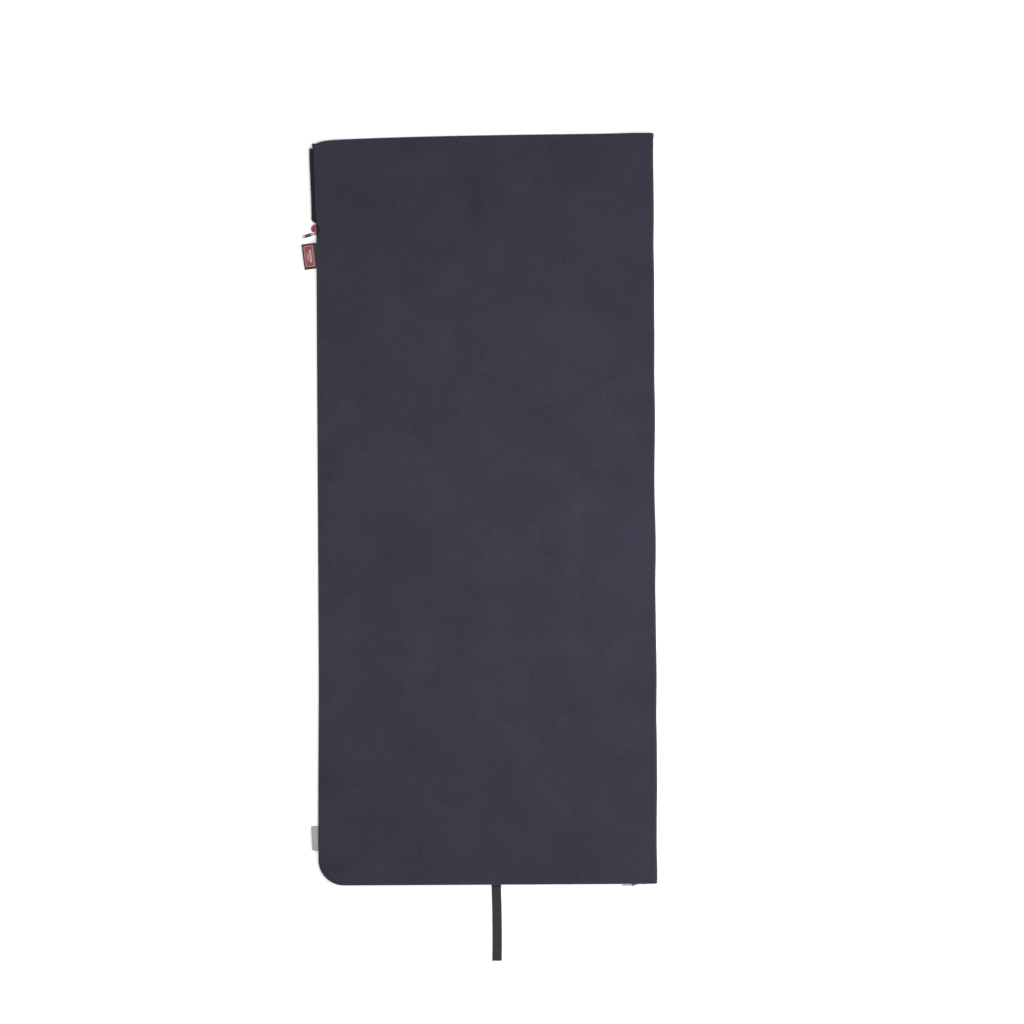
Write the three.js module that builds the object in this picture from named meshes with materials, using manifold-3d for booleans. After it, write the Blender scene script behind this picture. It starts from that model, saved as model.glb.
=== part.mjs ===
// A rectangular fleece sleeping blanket, laid flat and zipped shut along one side and the foot.
// Millimetres. +Z is up, +Y points to the open mouth and +X to the folded side.
// The origin is on the floor under the middle of the blanket.
import * as THREE from "three";
import { mergeVertices } from "three/addons/utils/BufferGeometryUtils.js";
import Module from "manifold-3d";

const wasm = await Module();
wasm.setup();

// Blanket, zipped and lying flat
const blanketWidth = 856;
const blanketLength = 1905;
const fleeceThickness = 3.4;
const footCornerRadius = 65;
const mouthSag = 20.5; // the mouth edge lies this much lower at the zip side

// Zip
const touchGap = 0.3;
const seamGap = 1.2; // between fleece and tape, where labels are sewn in
const tapeThickness = 0.6;
const tapeSewnWidth = 12;
const tapeWallHeight = 6.1; // from the chain's middle to the sewn part of the tape
const rowHeight = 1.4;
const rowThickness = 2.4;
const zipProud = 0.5; // the chain stands this far outside the fleece edge
const zipTopInset = 34.5; // below the mouth's highest point
const zipEndInset = 28; // from the folded edge
const openReach = 12.4; // how far the open tape lies out past the fleece
const flareLength = 17; // the open tape turns out over this length
const kinkLength = 9;
const openDrift = 4.6; // and how much further it lies at the top
const tapeKink = 4.5; // the back tape's extra turn out just above the slider
const pinLength = 12;
const stopLength = 4;
const stopWall = 1; // past the tape's edge
const stopLip = 0.4; // each side, past the row's thickness
const stopGrip = 1.5; // on past the row, towards the fleece

// Sliders
const upperSliderFromMouth = 247.5;
const lowerSliderFromFold = 58;
const sliderLength = 14;
const sliderHeight = 8.6;
const plateThickness = 1.1;
const flangeHeight = 0.9;
const plateRound = 2.4;
const plateTaper = 0.5; // each side, at the closed end
const dividerHeight = 1.8;
const dividerLength = 4.2;
const dividerSetback = 0.6; // from the slider's open end
const rowsPartBefore = 6.2; // the rows begin to part this far before the divider's tip
const rowsPartOver = 9;
const overlap = 0.2; // how far joined pieces run into each other
const bridgeWidth = 2.2;
const bridgeLength = 6.2;
const bridgeThickness = 1.2;
const bridgeOpening = 2.1;
const bridgeCentre = -3.3; // along the slider, from its middle

// Snag guard
const guardAhead = 13; // its nose, past the slider's open end
const guardReach = 14; // out from the chain
const guardWall = 0.7;
const guardTail = 4.5;
const guardPostAhead = 1.3;
const guardPostLength = 3;
const tongueReach = 2.5;
const tongueStart = -2;
const tongueInset = 1.6;

// Pulls
const wireRadius = 0.6;
const linkLength = 8;
const linkHalfWidth = 2.5;
const linkCorner = 1.4;
const linkRestAngle = 12;
const tabLength = 24; // from the eye to the middle of the finger ring
const tabWidth = 8.6;
const tabThickness = 1;
const tabEyeRadius = 2.2;
const tabEyeRim = 1.3;
const tabRingRadius = 4.6;
const tabRingHole = 2.6;
const tabDroop = 21;
const flatTabLength = 28;
const flatTabWidth = 6.8;
const flatTabThickness = 1.1;

// Labels and roll-up loop
const labelThickness = 0.5;
const sideLabelWidth = 46.5;
const sideLabelHeight = 65;
const sideLabelReach = 35.5; // out past the fleece edge
const sideLabelFromMouth = 306.5;
const sideLabelTilt = 7;
const careLabelHeight = 63;
const careLabelReach = 21;
const careLabelWidth = 31;
const careLabelFromFoot = 120;
const loopWidth = 24.2;
const loopLength = 194;
const loopWebbing = 1.1;
const loopGap = 5;
const loopOffset = 18.5; // towards the fold, from the middle of the foot
const loopRootGap = 2.2;

// Thread
const threadThickness = 0.5;
const seamInset = 6;
const hemDepth = 15;

// Worked out from the sizes above
const halfWidth = blanketWidth / 2;
const halfLength = blanketLength / 2;
const midHeight = fleeceThickness + seamGap + tapeThickness / 2 + tapeWallHeight;
const blanketHeight = 2 * midHeight;
const sideX = -halfWidth - zipProud;
const footY = -halfLength - zipProud;
const foldCentreX = halfWidth - midHeight;
const turnRadius = footCornerRadius + zipProud;
const sideRun = halfLength - zipTopInset - (-halfLength + footCornerRadius);
const turnRun = (turnRadius * Math.PI) / 2;
const footRun = halfWidth - zipEndInset - (-halfWidth + footCornerRadius);
const zipLength = sideRun + turnRun + footRun;
const upperSliderY = halfLength - upperSliderFromMouth;
const lowerSliderX = halfWidth - lowerSliderFromFold;
const upperSliderAt = upperSliderFromMouth - zipTopInset;
const lowerSliderAt = zipLength - (lowerSliderFromFold - zipEndInset);
const rowClosed = rowHeight / 2 + touchGap / 2;
const rowSplit = dividerHeight / 2 + 2 * touchGap + rowHeight / 2;
const sliderEnd = sliderLength / 2;
const dividerTip = sliderEnd - dividerSetback - dividerLength;
const partStart = dividerTip - rowsPartBefore;
const partEnd = partStart + rowsPartOver;
const guardNose = sliderEnd + guardAhead;
const flareStart = guardNose;
const flareEnd = guardNose + flareLength;
const plateInner = rowThickness / 2 + touchGap;
const plateOuter = plateInner + plateThickness;
const sliderHalf = sliderHeight / 2;
const bridgeHeight = plateOuter + bridgeOpening + bridgeThickness;
const pullPivot = plateOuter + touchGap + wireRadius + 0.1;

// Finishes
const finish = {
  fleece: { color: 0x3c3c48, roughness: 0.95, metalness: 0 },
  tape: { color: 0x17171b, roughness: 0.85, metalness: 0 },
  coil: { color: 0x1d1d21, roughness: 0.5, metalness: 0 },
  thread: { color: 0x2b2b34, roughness: 0.8, metalness: 0 },
  metal: { color: 0x9a9896, roughness: 0.35, metalness: 1 },
  guard: { color: 0xa83248, roughness: 0.4, metalness: 0 },
  label: { color: 0x8c1f2b, roughness: 0.6, metalness: 0 },
  careLabel: { color: 0xb4b4b2, roughness: 0.6, metalness: 0 },
  webbing: { color: 0x34343e, roughness: 0.9, metalness: 0 },
};

function ramp(x, from, to) {
  const t = Math.min(Math.max((x - from) / (to - from), 0), 1);
  return t * t * (3 - 2 * t);
}

function mix(a, b, t) {
  return a + (b - a) * t;
}

// Solids: a closed mesh as a manifold, joined or cut, and back again
function solidOf(geometry) {
  const bare = geometry.clone();
  bare.deleteAttribute("normal");
  bare.deleteAttribute("uv");
  const merged = mergeVertices(bare, 1e-4);
  return new wasm.Manifold(
    new wasm.Mesh({
      numProp: 3,
      vertProperties: new Float32Array(merged.attributes.position.array),
      triVerts: new Uint32Array(merged.index.array),
    }),
  );
}

function geometryOf(solid) {
  const mesh = solid.getMesh();
  const geometry = new THREE.BufferGeometry();
  geometry.setAttribute("position", new THREE.BufferAttribute(mesh.vertProperties, 3));
  geometry.setIndex(new THREE.BufferAttribute(mesh.triVerts, 1));
  geometry.computeVertexNormals();
  return geometry;
}

function joined(geometries) {
  return geometryOf(geometries.map(solidOf).reduce((all, next) => all.add(next)));
}

function block(lowX, highX, lowY, highY, lowZ, highZ) {
  return new THREE.BoxGeometry(highX - lowX, highY - lowY, highZ - lowZ).translate(
    (lowX + highX) / 2,
    (lowY + highY) / 2,
    (lowZ + highZ) / 2,
  );
}

// A flat outline in X and Y given a thickness in Z, from low to high
function slab(shape, low, high, curveSegments = 12) {
  const geometry = new THREE.ExtrudeGeometry(shape, {
    depth: high - low,
    bevelEnabled: false,
    curveSegments,
  });
  return geometry.translate(0, 0, low);
}

function shapeOf(points) {
  return new THREE.Shape(points.map(([x, y]) => new THREE.Vector2(x, y)));
}

// Skins a run of sections, which hold the same number of points, the first half along one
// side and the second half back along the other. A closed run joins its last to its first.
function loft(sections, closed = false) {
  const count = sections[0].length;
  const position = sections.flat().flatMap((p) => [p.x, p.y, p.z]);
  const index = [];
  const spans = closed ? sections.length : sections.length - 1;
  for (let i = 0; i < spans; i++) {
    const here = i * count;
    const there = ((i + 1) % sections.length) * count;
    for (let j = 0; j < count; j++) {
      const k = (j + 1) % count;
      index.push(here + j, here + k, there + k, here + j, there + k, there + j);
    }
  }
  if (!closed) {
    const end = (sections.length - 1) * count;
    for (let j = 0; j < count / 2 - 1; j++) {
      const [a, b, c, d] = [j, j + 1, count - 2 - j, count - 1 - j];
      index.push(a, d, c, a, c, b);
      index.push(end + a, end + b, end + c, end + a, end + c, end + d);
    }
  }
  const geometry = new THREE.BufferGeometry();
  geometry.setAttribute("position", new THREE.Float32BufferAttribute(position, 3));
  geometry.setIndex(index);
  const outward = solidOf(geometry).volume() > 0;
  if (!outward) {
    for (let i = 0; i < index.length; i += 3) [index[i], index[i + 1]] = [index[i + 1], index[i]];
    geometry.setIndex(index);
  }
  geometry.computeVertexNormals();
  return geometry;
}

// The zip's path in plan, by its length from the mouth end: down the side, round the foot's
// corner and along the foot. Each place has the outward direction there.
function zipPlace(along) {
  if (along <= sideRun) {
    return { x: sideX, y: halfLength - zipTopInset - along, outX: -1, outY: 0 };
  }
  if (along <= sideRun + turnRun) {
    const angle = Math.PI + (along - sideRun) / turnRadius;
    const outX = Math.cos(angle);
    const outY = Math.sin(angle);
    return {
      x: -halfWidth + footCornerRadius + turnRadius * outX,
      y: -halfLength + footCornerRadius + turnRadius * outY,
      outX,
      outY,
    };
  }
  const x = -halfWidth + footCornerRadius + (along - sideRun - turnRun);
  return { x, y: footY, outX: 0, outY: -1 };
}

// A point beside the path: out from the chain, and at a height above the floor
function besideZip(along, out, height) {
  const place = zipPlace(along);
  return new THREE.Vector3(place.x + place.outX * out, place.y + place.outY * out, height);
}

// Where sections are cut along the zip between two lengths: close together where it changes
function zipStations(from, to) {
  const marks = [from, to, 0, upperSliderAt - flareEnd - 60];
  for (let d = partStart - 4; d <= flareEnd + 5; d += 2.5) marks.push(upperSliderAt - d);
  for (let i = 0; i <= 10; i++) marks.push(sideRun + (turnRun * i) / 10);
  for (let d = partStart - 1; d <= partEnd + 2; d += 1.5) marks.push(lowerSliderAt + d);
  const inside = marks.filter((s) => s >= from && s <= to).sort((a, b) => a - b);
  return inside.filter((s, i) => i === 0 || s - inside[i - 1] > 0.2);
}

// How one row of coil lies at a place on the zip: out from the chain's plane and up or down
// from its middle. The rows are meshed between the sliders and part inside them.
function rowPlace(along, isBack) {
  const above = upperSliderAt - along;
  const beyond = along - lowerSliderAt;
  const split = Math.max(ramp(above, partStart, partEnd), ramp(beyond, partStart, partEnd));
  const flare = ramp(above, flareStart, flareEnd);
  const kinkTop = flareStart + kinkLength;
  const kink = isBack
    ? ramp(above, flareStart, kinkTop) * (1 - ramp(above, kinkTop, flareEnd + 4))
    : 0;
  const drift = openDrift * ramp(above, flareEnd, upperSliderAt);
  return {
    bend: drift,
    out: openReach * flare + tapeKink * kink + drift,
    up: mix(mix(rowClosed, rowSplit, split), tapeWallHeight, flare),
  };
}

// The tape's and the row's sections at one place, as points out from the path and up from
// the chain's middle. The back's are the front's turned upside down.
function zipSections(along, isBack) {
  const row = rowPlace(along, isBack);
  const bend = new THREE.Vector2(row.bend, tapeWallHeight);
  const centre = new THREE.Vector2(row.out, row.up);
  const way = centre.clone().sub(bend).normalize();
  const side = new THREE.Vector2(-way.y, way.x);
  const free = centre.clone().addScaledVector(way, -(rowHeight / 2 + touchGap));
  const half = tapeThickness / 2;
  const inner = new THREE.Vector2(row.bend - tapeSewnWidth, tapeWallHeight);
  const miter = new THREE.Vector2(0, 1).add(side).normalize();
  miter.multiplyScalar(half / miter.dot(side));
  const up = new THREE.Vector2(0, half);
  const tape = [
    inner.clone().add(up),
    bend.clone().add(miter),
    free.clone().addScaledVector(side, half),
    free.clone().addScaledVector(side, -half),
    bend.clone().sub(miter),
    inner.clone().sub(up),
  ];
  const corner = (a, s) =>
    centre
      .clone()
      .addScaledVector(way, (a * rowHeight) / 2)
      .addScaledVector(side, (s * rowThickness) / 2);
  const coil = [
    corner(-1, 0.5),
    corner(-0.6, 1),
    corner(0.6, 1),
    corner(1, 0.5),
    corner(1, -0.5),
    corner(0.6, -1),
    corner(-0.6, -1),
    corner(-1, -0.5),
  ];
  return { tape, coil, centre, way, side };
}

function toWorld(along, isBack, point) {
  return besideZip(along, point.x, midHeight + (isBack ? -point.y : point.y));
}

function zipRun(stations, isBack, profile) {
  return loft(
    stations.map((s) => zipSections(s, isBack)[profile].map((p) => toWorld(s, isBack, p))),
  );
}

function zipTape(isBack) {
  return zipRun(zipStations(0, zipLength), isBack, "tape");
}

function coilRow(isBack) {
  const from = stopLength + touchGap;
  const to = zipLength - pinLength - touchGap;
  return zipRun(zipStations(from, to), isBack, "coil");
}

// The solid pin that takes the coil's place at the zip's far end
function endPin(isBack) {
  return zipRun([zipLength - pinLength, zipLength], isBack, "coil");
}

// A metal clip folded over the tape's edge at the top of each row
function topStop(isBack) {
  const { centre, way, side } = zipSections(stopLength / 2, isBack);
  const bar = (from, to, grip, reach, half) => {
    const corners = [
      [-grip, half],
      [reach, half],
      [reach, -half],
      [-grip, -half],
    ];
    const place = ([a, b]) => centre.clone().addScaledVector(way, a).addScaledVector(side, b);
    return loft([from, to].map((s) => corners.map((c) => toWorld(s, isBack, place(c)))));
  };
  const grip = rowHeight / 2 + stopGrip;
  const reach = rowHeight / 2 + stopWall;
  const clip = bar(touchGap, stopLength, grip, reach, rowThickness / 2 + stopLip);
  const slotHalf = tapeThickness / 2 + touchGap;
  const slot = bar(-1, stopLength + 1, grip + 1, reach - stopWall, slotHalf);
  return geometryOf(solidOf(clip).subtract(solidOf(slot)));
}

// The mouth edge, level from the fold and falling away towards the zip
function mouthPoints(right) {
  return [
    new THREE.Vector2(right, halfLength),
    new THREE.Vector2(-0.35 * halfWidth, halfLength),
    new THREE.Vector2(-0.86 * halfWidth, halfLength - mouthSag / 3),
    new THREE.Vector2(-halfWidth, halfLength - mouthSag),
  ];
}

// A layer of fleece, from the zip side to where the fold begins
function fleeceShape() {
  const shape = new THREE.Shape();
  const right = foldCentreX - touchGap;
  const [start, pull, push, end] = mouthPoints(right);
  const cornerX = -halfWidth + footCornerRadius;
  const cornerY = -halfLength + footCornerRadius;
  shape.moveTo(right, -halfLength);
  shape.lineTo(start.x, start.y);
  shape.bezierCurveTo(pull.x, pull.y, push.x, push.y, end.x, end.y);
  shape.lineTo(-halfWidth, cornerY);
  shape.absarc(cornerX, cornerY, footCornerRadius, Math.PI, 1.5 * Math.PI, false);
  shape.lineTo(right, -halfLength);
  return shape;
}

function fleeceLayer(low) {
  return slab(fleeceShape(), low, low + fleeceThickness, 14);
}

// The turned cloth that joins the two layers along the folded side
function foldStrip() {
  const shape = new THREE.Shape();
  shape.absarc(0, 0, midHeight, -Math.PI / 2, Math.PI / 2, false);
  shape.absarc(0, 0, midHeight - fleeceThickness, Math.PI / 2, -Math.PI / 2, true);
  const geometry = slab(shape, -halfLength, halfLength, 10);
  return geometry.rotateX(Math.PI / 2).translate(foldCentreX, 0, midHeight);
}

// A line of stitching beside the zip, as one run of thread
function seamThread(low) {
  const high = low + threadThickness;
  const near = -seamInset - threadThickness / 2;
  const far = -seamInset + threadThickness / 2;
  const stations = [2];
  for (let i = 0; i <= 10; i++) stations.push(sideRun + (turnRun * i) / 10);
  stations.push(zipLength - 2);
  return loft(
    stations.map((s) => [
      besideZip(s, near, low),
      besideZip(s, far, low),
      besideZip(s, far, high),
      besideZip(s, near, high),
    ]),
  );
}

function hemThread(low) {
  const high = low + threadThickness;
  const edge = new THREE.CubicBezierCurve(...mouthPoints(foldCentreX));
  const sections = [];
  const steps = 12;
  for (let i = 0; i <= steps; i++) {
    const p = edge.getPoint(mix(0.02, 0.97, i / steps));
    const y = p.y - hemDepth;
    sections.push([
      new THREE.Vector3(p.x, y, low),
      new THREE.Vector3(p.x, y + threadThickness, low),
      new THREE.Vector3(p.x, y + threadThickness, high),
      new THREE.Vector3(p.x, y, high),
    ]);
  }
  return loft(sections);
}

// Slider parts are made lying along X, with the open end at +X, the outer side at +Y and the
// chain's two rows at +Z and -Z.
function sliderPlateShape() {
  const shape = new THREE.Shape();
  const end = sliderEnd;
  const round = plateRound;
  const narrow = sliderHalf - plateTaper;
  shape.moveTo(-end + round, -narrow);
  shape.lineTo(end - round, -sliderHalf);
  shape.quadraticCurveTo(end, -sliderHalf, end, -sliderHalf + round);
  shape.lineTo(end, sliderHalf - round);
  shape.quadraticCurveTo(end, sliderHalf, end - round, sliderHalf);
  shape.lineTo(-end + round, narrow);
  shape.quadraticCurveTo(-end, narrow, -end, narrow - round);
  shape.lineTo(-end, -narrow + round);
  shape.quadraticCurveTo(-end, -narrow, -end + round, -narrow);
  return shape;
}

function bridgeShape() {
  const shape = new THREE.Shape();
  const left = bridgeCentre - bridgeLength / 2;
  const right = bridgeCentre + bridgeLength / 2;
  const base = plateOuter - overlap;
  const round = bridgeThickness + 0.4;
  shape.moveTo(left, base);
  shape.lineTo(left, bridgeHeight - round);
  shape.quadraticCurveTo(left, bridgeHeight, left + round, bridgeHeight);
  shape.lineTo(right - round, bridgeHeight);
  shape.quadraticCurveTo(right, bridgeHeight, right, bridgeHeight - round);
  shape.lineTo(right, base);
  shape.lineTo(right - bridgeThickness, base);
  shape.lineTo(right - bridgeThickness, plateOuter + bridgeOpening);
  shape.lineTo(left + bridgeThickness, plateOuter + bridgeOpening);
  shape.lineTo(left + bridgeThickness, base);
  shape.lineTo(left, base);
  return shape;
}

function sliderBody() {
  const flangeEnd = sliderEnd - 1;
  const slotHalf = tapeThickness / 2 + touchGap;
  const flangeHigh = sliderHalf - plateTaper;
  const flangeLow = flangeHigh - flangeHeight;
  const inside = plateInner + overlap;
  const plate = slab(sliderPlateShape(), plateInner, plateOuter, 6).rotateX(-Math.PI / 2);
  const pieces = [plate, plate.clone().rotateX(Math.PI)];
  for (const up of [-1, 1]) {
    for (const out of [-1, 1]) {
      const [lowZ, highZ] = up > 0 ? [flangeLow, flangeHigh] : [-flangeHigh, -flangeLow];
      const [lowY, highY] = out > 0 ? [slotHalf, inside] : [-inside, -slotHalf];
      pieces.push(block(-flangeEnd, flangeEnd, lowY, highY, lowZ, highZ));
    }
  }
  const dividerEnd = dividerTip + dividerLength;
  const dividerFull = dividerTip + dividerLength / 2;
  const divider = shapeOf([
    [dividerTip, 0],
    [dividerFull, -dividerHeight / 2],
    [dividerEnd, -dividerHeight / 2],
    [dividerEnd, dividerHeight / 2],
    [dividerFull, dividerHeight / 2],
  ]);
  pieces.push(slab(divider, -inside, inside).rotateX(-Math.PI / 2));
  pieces.push(slab(bridgeShape(), -bridgeWidth / 2, bridgeWidth / 2, 5));
  return joined(pieces);
}

// The plastic guard round the slider, whose nose keeps cloth out of the chain
function snagGuard() {
  const top = sliderHalf + touchGap + guardWall;
  const face = plateOuter + touchGap;
  const edge = tapeThickness / 2 + 0.4;
  const front = bridgeCentre + bridgeLength / 2 + 0.5;
  const bow = new THREE.Shape();
  bow.moveTo(front, face);
  bow.lineTo(front, face + 3);
  bow.quadraticCurveTo(front + 1, guardReach, front + 7, guardReach);
  bow.quadraticCurveTo(guardNose - 2, guardReach - 1, guardNose, face + 1.2);
  bow.lineTo(guardNose, face);
  bow.lineTo(front, face);
  const cheek = shapeOf([
    [-sliderEnd, edge],
    [guardNose, edge],
    [guardNose, face + 0.4],
    [front, face + 1],
    [front, guardTail],
    [-sliderEnd + 1.5, guardTail],
    [-sliderEnd, guardTail - 1.5],
  ]);
  const tongueFace = -face - tongueReach;
  const tongue = new THREE.Shape();
  tongue.moveTo(tongueStart, -face);
  tongue.quadraticCurveTo(tongueStart + 4, tongueFace, guardNose - 4, tongueFace);
  tongue.quadraticCurveTo(guardNose, tongueFace, guardNose, -face);
  tongue.lineTo(tongueStart, -face);
  const postStart = sliderEnd + guardPostAhead;
  const postEnd = postStart + guardPostLength;
  const postFace = face + overlap;
  const postHalf = dividerHeight / 2 - 0.1;
  const pieces = [
    slab(bow, -top, top, 8),
    slab(cheek, top - guardWall, top),
    slab(cheek, -top, -top + guardWall),
    slab(tongue, -top + tongueInset, top - tongueInset, 8),
    block(postStart, postEnd, -postFace, postFace, -postHalf, postHalf),
  ];
  return joined(pieces);
}

// The wire ring that joins the upper tab to its slider, reaching out along +X from its pivot
function pullLink() {
  const [far, half, round] = [linkLength, linkHalfWidth, linkCorner];
  const path = new THREE.Path();
  path.moveTo(0, -half + round);
  path.lineTo(0, half - round);
  path.quadraticCurveTo(0, half, round, half);
  path.lineTo(far - round, half);
  path.quadraticCurveTo(far, half, far, half - round);
  path.lineTo(far, -half + round);
  path.quadraticCurveTo(far, -half, far - round, -half);
  path.lineTo(round, -half);
  path.quadraticCurveTo(0, -half, 0, -half + round);
  const steps = 40;
  const sides = 8;
  const sections = [];
  for (let i = 0; i < steps; i++) {
    const point = path.getPointAt(i / steps);
    const tangent = path.getTangentAt(i / steps);
    const ring = [];
    for (let j = 0; j < sides; j++) {
      const angle = (2 * Math.PI * (j + 0.5)) / sides;
      const over = wireRadius * Math.cos(angle);
      const out = wireRadius * Math.sin(angle);
      ring.push(new THREE.Vector3(point.x - out * tangent.y, over, point.y + out * tangent.x));
    }
    sections.push(ring);
  }
  return loft(sections, true);
}

// The tab hangs from the link by its eye, and ends in a finger ring
function ringTab() {
  const eyeOuter = tabEyeRadius + tabEyeRim;
  const eyeMeets = 0.4 * Math.PI;
  const neck = eyeOuter + 2.5;
  const shape = new THREE.Shape();
  const half = tabWidth / 2;
  shape.absarc(0, 0, eyeOuter, eyeMeets, -eyeMeets + 2 * Math.PI, false);
  shape.quadraticCurveTo(neck - 1, -half, neck + 1, -half);
  shape.lineTo(tabLength - tabRingRadius, -half + 0.6);
  shape.absarc(tabLength, 0, tabRingRadius, -0.6 * Math.PI, 0.6 * Math.PI, false);
  shape.lineTo(neck + 1, half);
  const [meetX, meetY] = [eyeOuter * Math.cos(eyeMeets), eyeOuter * Math.sin(eyeMeets)];
  shape.quadraticCurveTo(neck - 1, half, meetX, meetY);
  const eye = new THREE.Path();
  eye.absarc(0, 0, tabEyeRadius, 0, 2 * Math.PI, true);
  const finger = new THREE.Path();
  finger.absarc(tabLength, 0, tabRingHole, 0, 2 * Math.PI, true);
  shape.holes.push(eye, finger);
  return slab(shape, -tabThickness / 2, tabThickness / 2, 10);
}

// The plain tab of the lower slider, with a window that the bridge stands in
function flatTab() {
  const half = flatTabWidth / 2;
  const bar = flatTabThickness / 2;
  const shape = new THREE.Shape();
  shape.moveTo(-bar, -half + 0.8);
  shape.quadraticCurveTo(-bar, -half, bar, -half);
  shape.lineTo(flatTabLength - half, -half);
  shape.absarc(flatTabLength - half, 0, half, -Math.PI / 2, Math.PI / 2, false);
  shape.lineTo(bar, half);
  shape.quadraticCurveTo(-bar, half, -bar, half - 0.8);
  shape.lineTo(-bar, -half + 0.8);
  const windowHalf = bridgeWidth / 2 + 0.6;
  const windowEnd = bridgeLength / 2 + 2.1;
  const opening = new THREE.Path();
  opening.moveTo(bar, -windowHalf);
  opening.lineTo(bar, windowHalf);
  opening.lineTo(windowEnd, windowHalf);
  opening.lineTo(windowEnd, -windowHalf);
  opening.lineTo(bar, -windowHalf);
  const finger = new THREE.Path();
  finger.absarc(flatTabLength - half - 0.4, 0, 1.6, 0, 2 * Math.PI, true);
  shape.holes.push(opening, finger);
  return slab(shape, -bar, bar, 8).rotateX(Math.PI / 2);
}

// Flat labels lie level, with their inner edge in the seam
function label(width, height, reach) {
  return new THREE.BoxGeometry(width, height, labelThickness).translate(width / 2 - reach, 0, 0);
}

// The elastic roll-up loop, lying out from the foot. It is pinched where it is sewn.
function rollLoop() {
  const high = 2 * loopWebbing + loopGap;
  const pinched = 2 * loopWebbing + 0.2;
  const outer = new THREE.Shape();
  const bend = high / 2;
  outer.moveTo(0, 0);
  outer.lineTo(loopLength - bend, 0);
  outer.absarc(loopLength - bend, bend, bend, -Math.PI / 2, Math.PI / 2, false);
  outer.lineTo(34, high);
  outer.bezierCurveTo(22, high, 16, pinched, 6, pinched);
  outer.lineTo(0, pinched);
  outer.lineTo(0, 0);
  const inner = new THREE.Path();
  inner.moveTo(10, loopWebbing);
  inner.bezierCurveTo(18, loopWebbing + 0.2, 24, high - loopWebbing, 35, high - loopWebbing);
  inner.lineTo(loopLength - bend, high - loopWebbing);
  inner.absarc(loopLength - bend, bend, bend - loopWebbing, Math.PI / 2, -Math.PI / 2, true);
  inner.lineTo(10, loopWebbing);
  outer.holes.push(inner);
  return slab(outer, -loopWidth / 2, loopWidth / 2, 10).rotateX(Math.PI / 2).rotateZ(-Math.PI / 2);
}

const blanket = new THREE.Group();

function add(parent, name, geometry, look) {
  const mesh = new THREE.Mesh(geometry, new THREE.MeshStandardMaterial(look));
  mesh.name = name;
  parent.add(mesh);
  return mesh;
}

function frameAt(parent, x, y, z) {
  const group = new THREE.Group();
  group.position.set(x, y, z);
  parent.add(group);
  return group;
}

// Fleece
const frontLow = blanketHeight - fleeceThickness;
add(blanket, "back_panel", fleeceLayer(0), finish.fleece);
add(blanket, "front_panel", fleeceLayer(frontLow), finish.fleece);
add(blanket, "fold_strip", foldStrip(), finish.fleece);

// Zip
for (const [side, isBack] of [["back", true], ["front", false]]) {
  add(blanket, side + "_zip_tape", zipTape(isBack), finish.tape);
  add(blanket, side + "_coil", coilRow(isBack), finish.coil);
  add(blanket, side + "_end_pin", endPin(isBack), finish.coil);
  add(blanket, side + "_top_stop", topStop(isBack), finish.metal);
}

// Thread: the front's lies on the outside, the back's on the inside
const backTapeTop = midHeight - tapeWallHeight + tapeThickness / 2;
add(blanket, "front_seam_thread", seamThread(blanketHeight + touchGap), finish.thread);
add(blanket, "back_seam_thread", seamThread(backTapeTop + touchGap), finish.thread);
add(blanket, "front_hem_thread", hemThread(blanketHeight + touchGap), finish.thread);
add(blanket, "back_hem_thread", hemThread(fleeceThickness + touchGap), finish.thread);

// Upper slider, with its guard, link and tab
const upperSlider = frameAt(blanket, sideX, upperSliderY, midHeight);
upperSlider.rotation.z = Math.PI / 2;
add(upperSlider, "upper_slider_body", sliderBody(), finish.metal);
add(upperSlider, "upper_slider_guard", snagGuard(), finish.guard);
const upperPull = frameAt(upperSlider, bridgeCentre, pullPivot, 0);
upperPull.rotation.z = Math.PI / 2 + THREE.MathUtils.degToRad(linkRestAngle);
add(upperPull, "upper_pull_link", pullLink(), finish.metal);
const upperTab = frameAt(upperPull, linkLength, 0, 0);
upperTab.rotation.y = THREE.MathUtils.degToRad(tabDroop);
add(upperTab, "upper_pull_tab", ringTab(), finish.metal);

// Lower slider and its tab, which lies along the foot
const lowerSlider = frameAt(blanket, lowerSliderX, footY, midHeight);
lowerSlider.rotation.x = Math.PI;
add(lowerSlider, "lower_slider_body", sliderBody(), finish.metal);
const lowerPull = frameAt(lowerSlider, bridgeCentre, pullPivot, 0);
lowerPull.rotation.z = Math.PI;
add(lowerPull, "lower_pull_tab", flatTab(), finish.metal);

// Labels, sewn in between the front's fleece and tape
const labelHeight = blanketHeight - fleeceThickness - seamGap / 2;
const sideLabel = frameAt(blanket, -halfWidth, halfLength - sideLabelFromMouth, labelHeight);
sideLabel.rotation.z = THREE.MathUtils.degToRad(sideLabelTilt);
add(sideLabel, "side_label", label(sideLabelWidth, sideLabelHeight, sideLabelReach), finish.label);
const careY = -halfLength + careLabelFromFoot;
const careLabel = frameAt(blanket, -halfWidth, careY, labelHeight);
const careLeaf = label(careLabelWidth, careLabelHeight, careLabelReach);
add(careLabel, "care_label", careLeaf, finish.careLabel);

// Roll-up loop
const loopRoot = frameAt(blanket, loopOffset, -halfLength - loopRootGap, 0);
add(loopRoot, "roll_loop", rollLoop(), finish.webbing);
const tackHeight = 2 * loopWebbing + 0.2 + touchGap;
const tackHalf = loopWidth / 2 - 2;
const tack = block(-tackHalf, tackHalf, -5, -2.5, tackHeight, tackHeight + 0.5);
add(loopRoot, "loop_bartack", tack, finish.thread);

export default blanket;
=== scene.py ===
import math

import bmesh
import bpy
import numpy as np
from mathutils import Matrix, Vector


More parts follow.
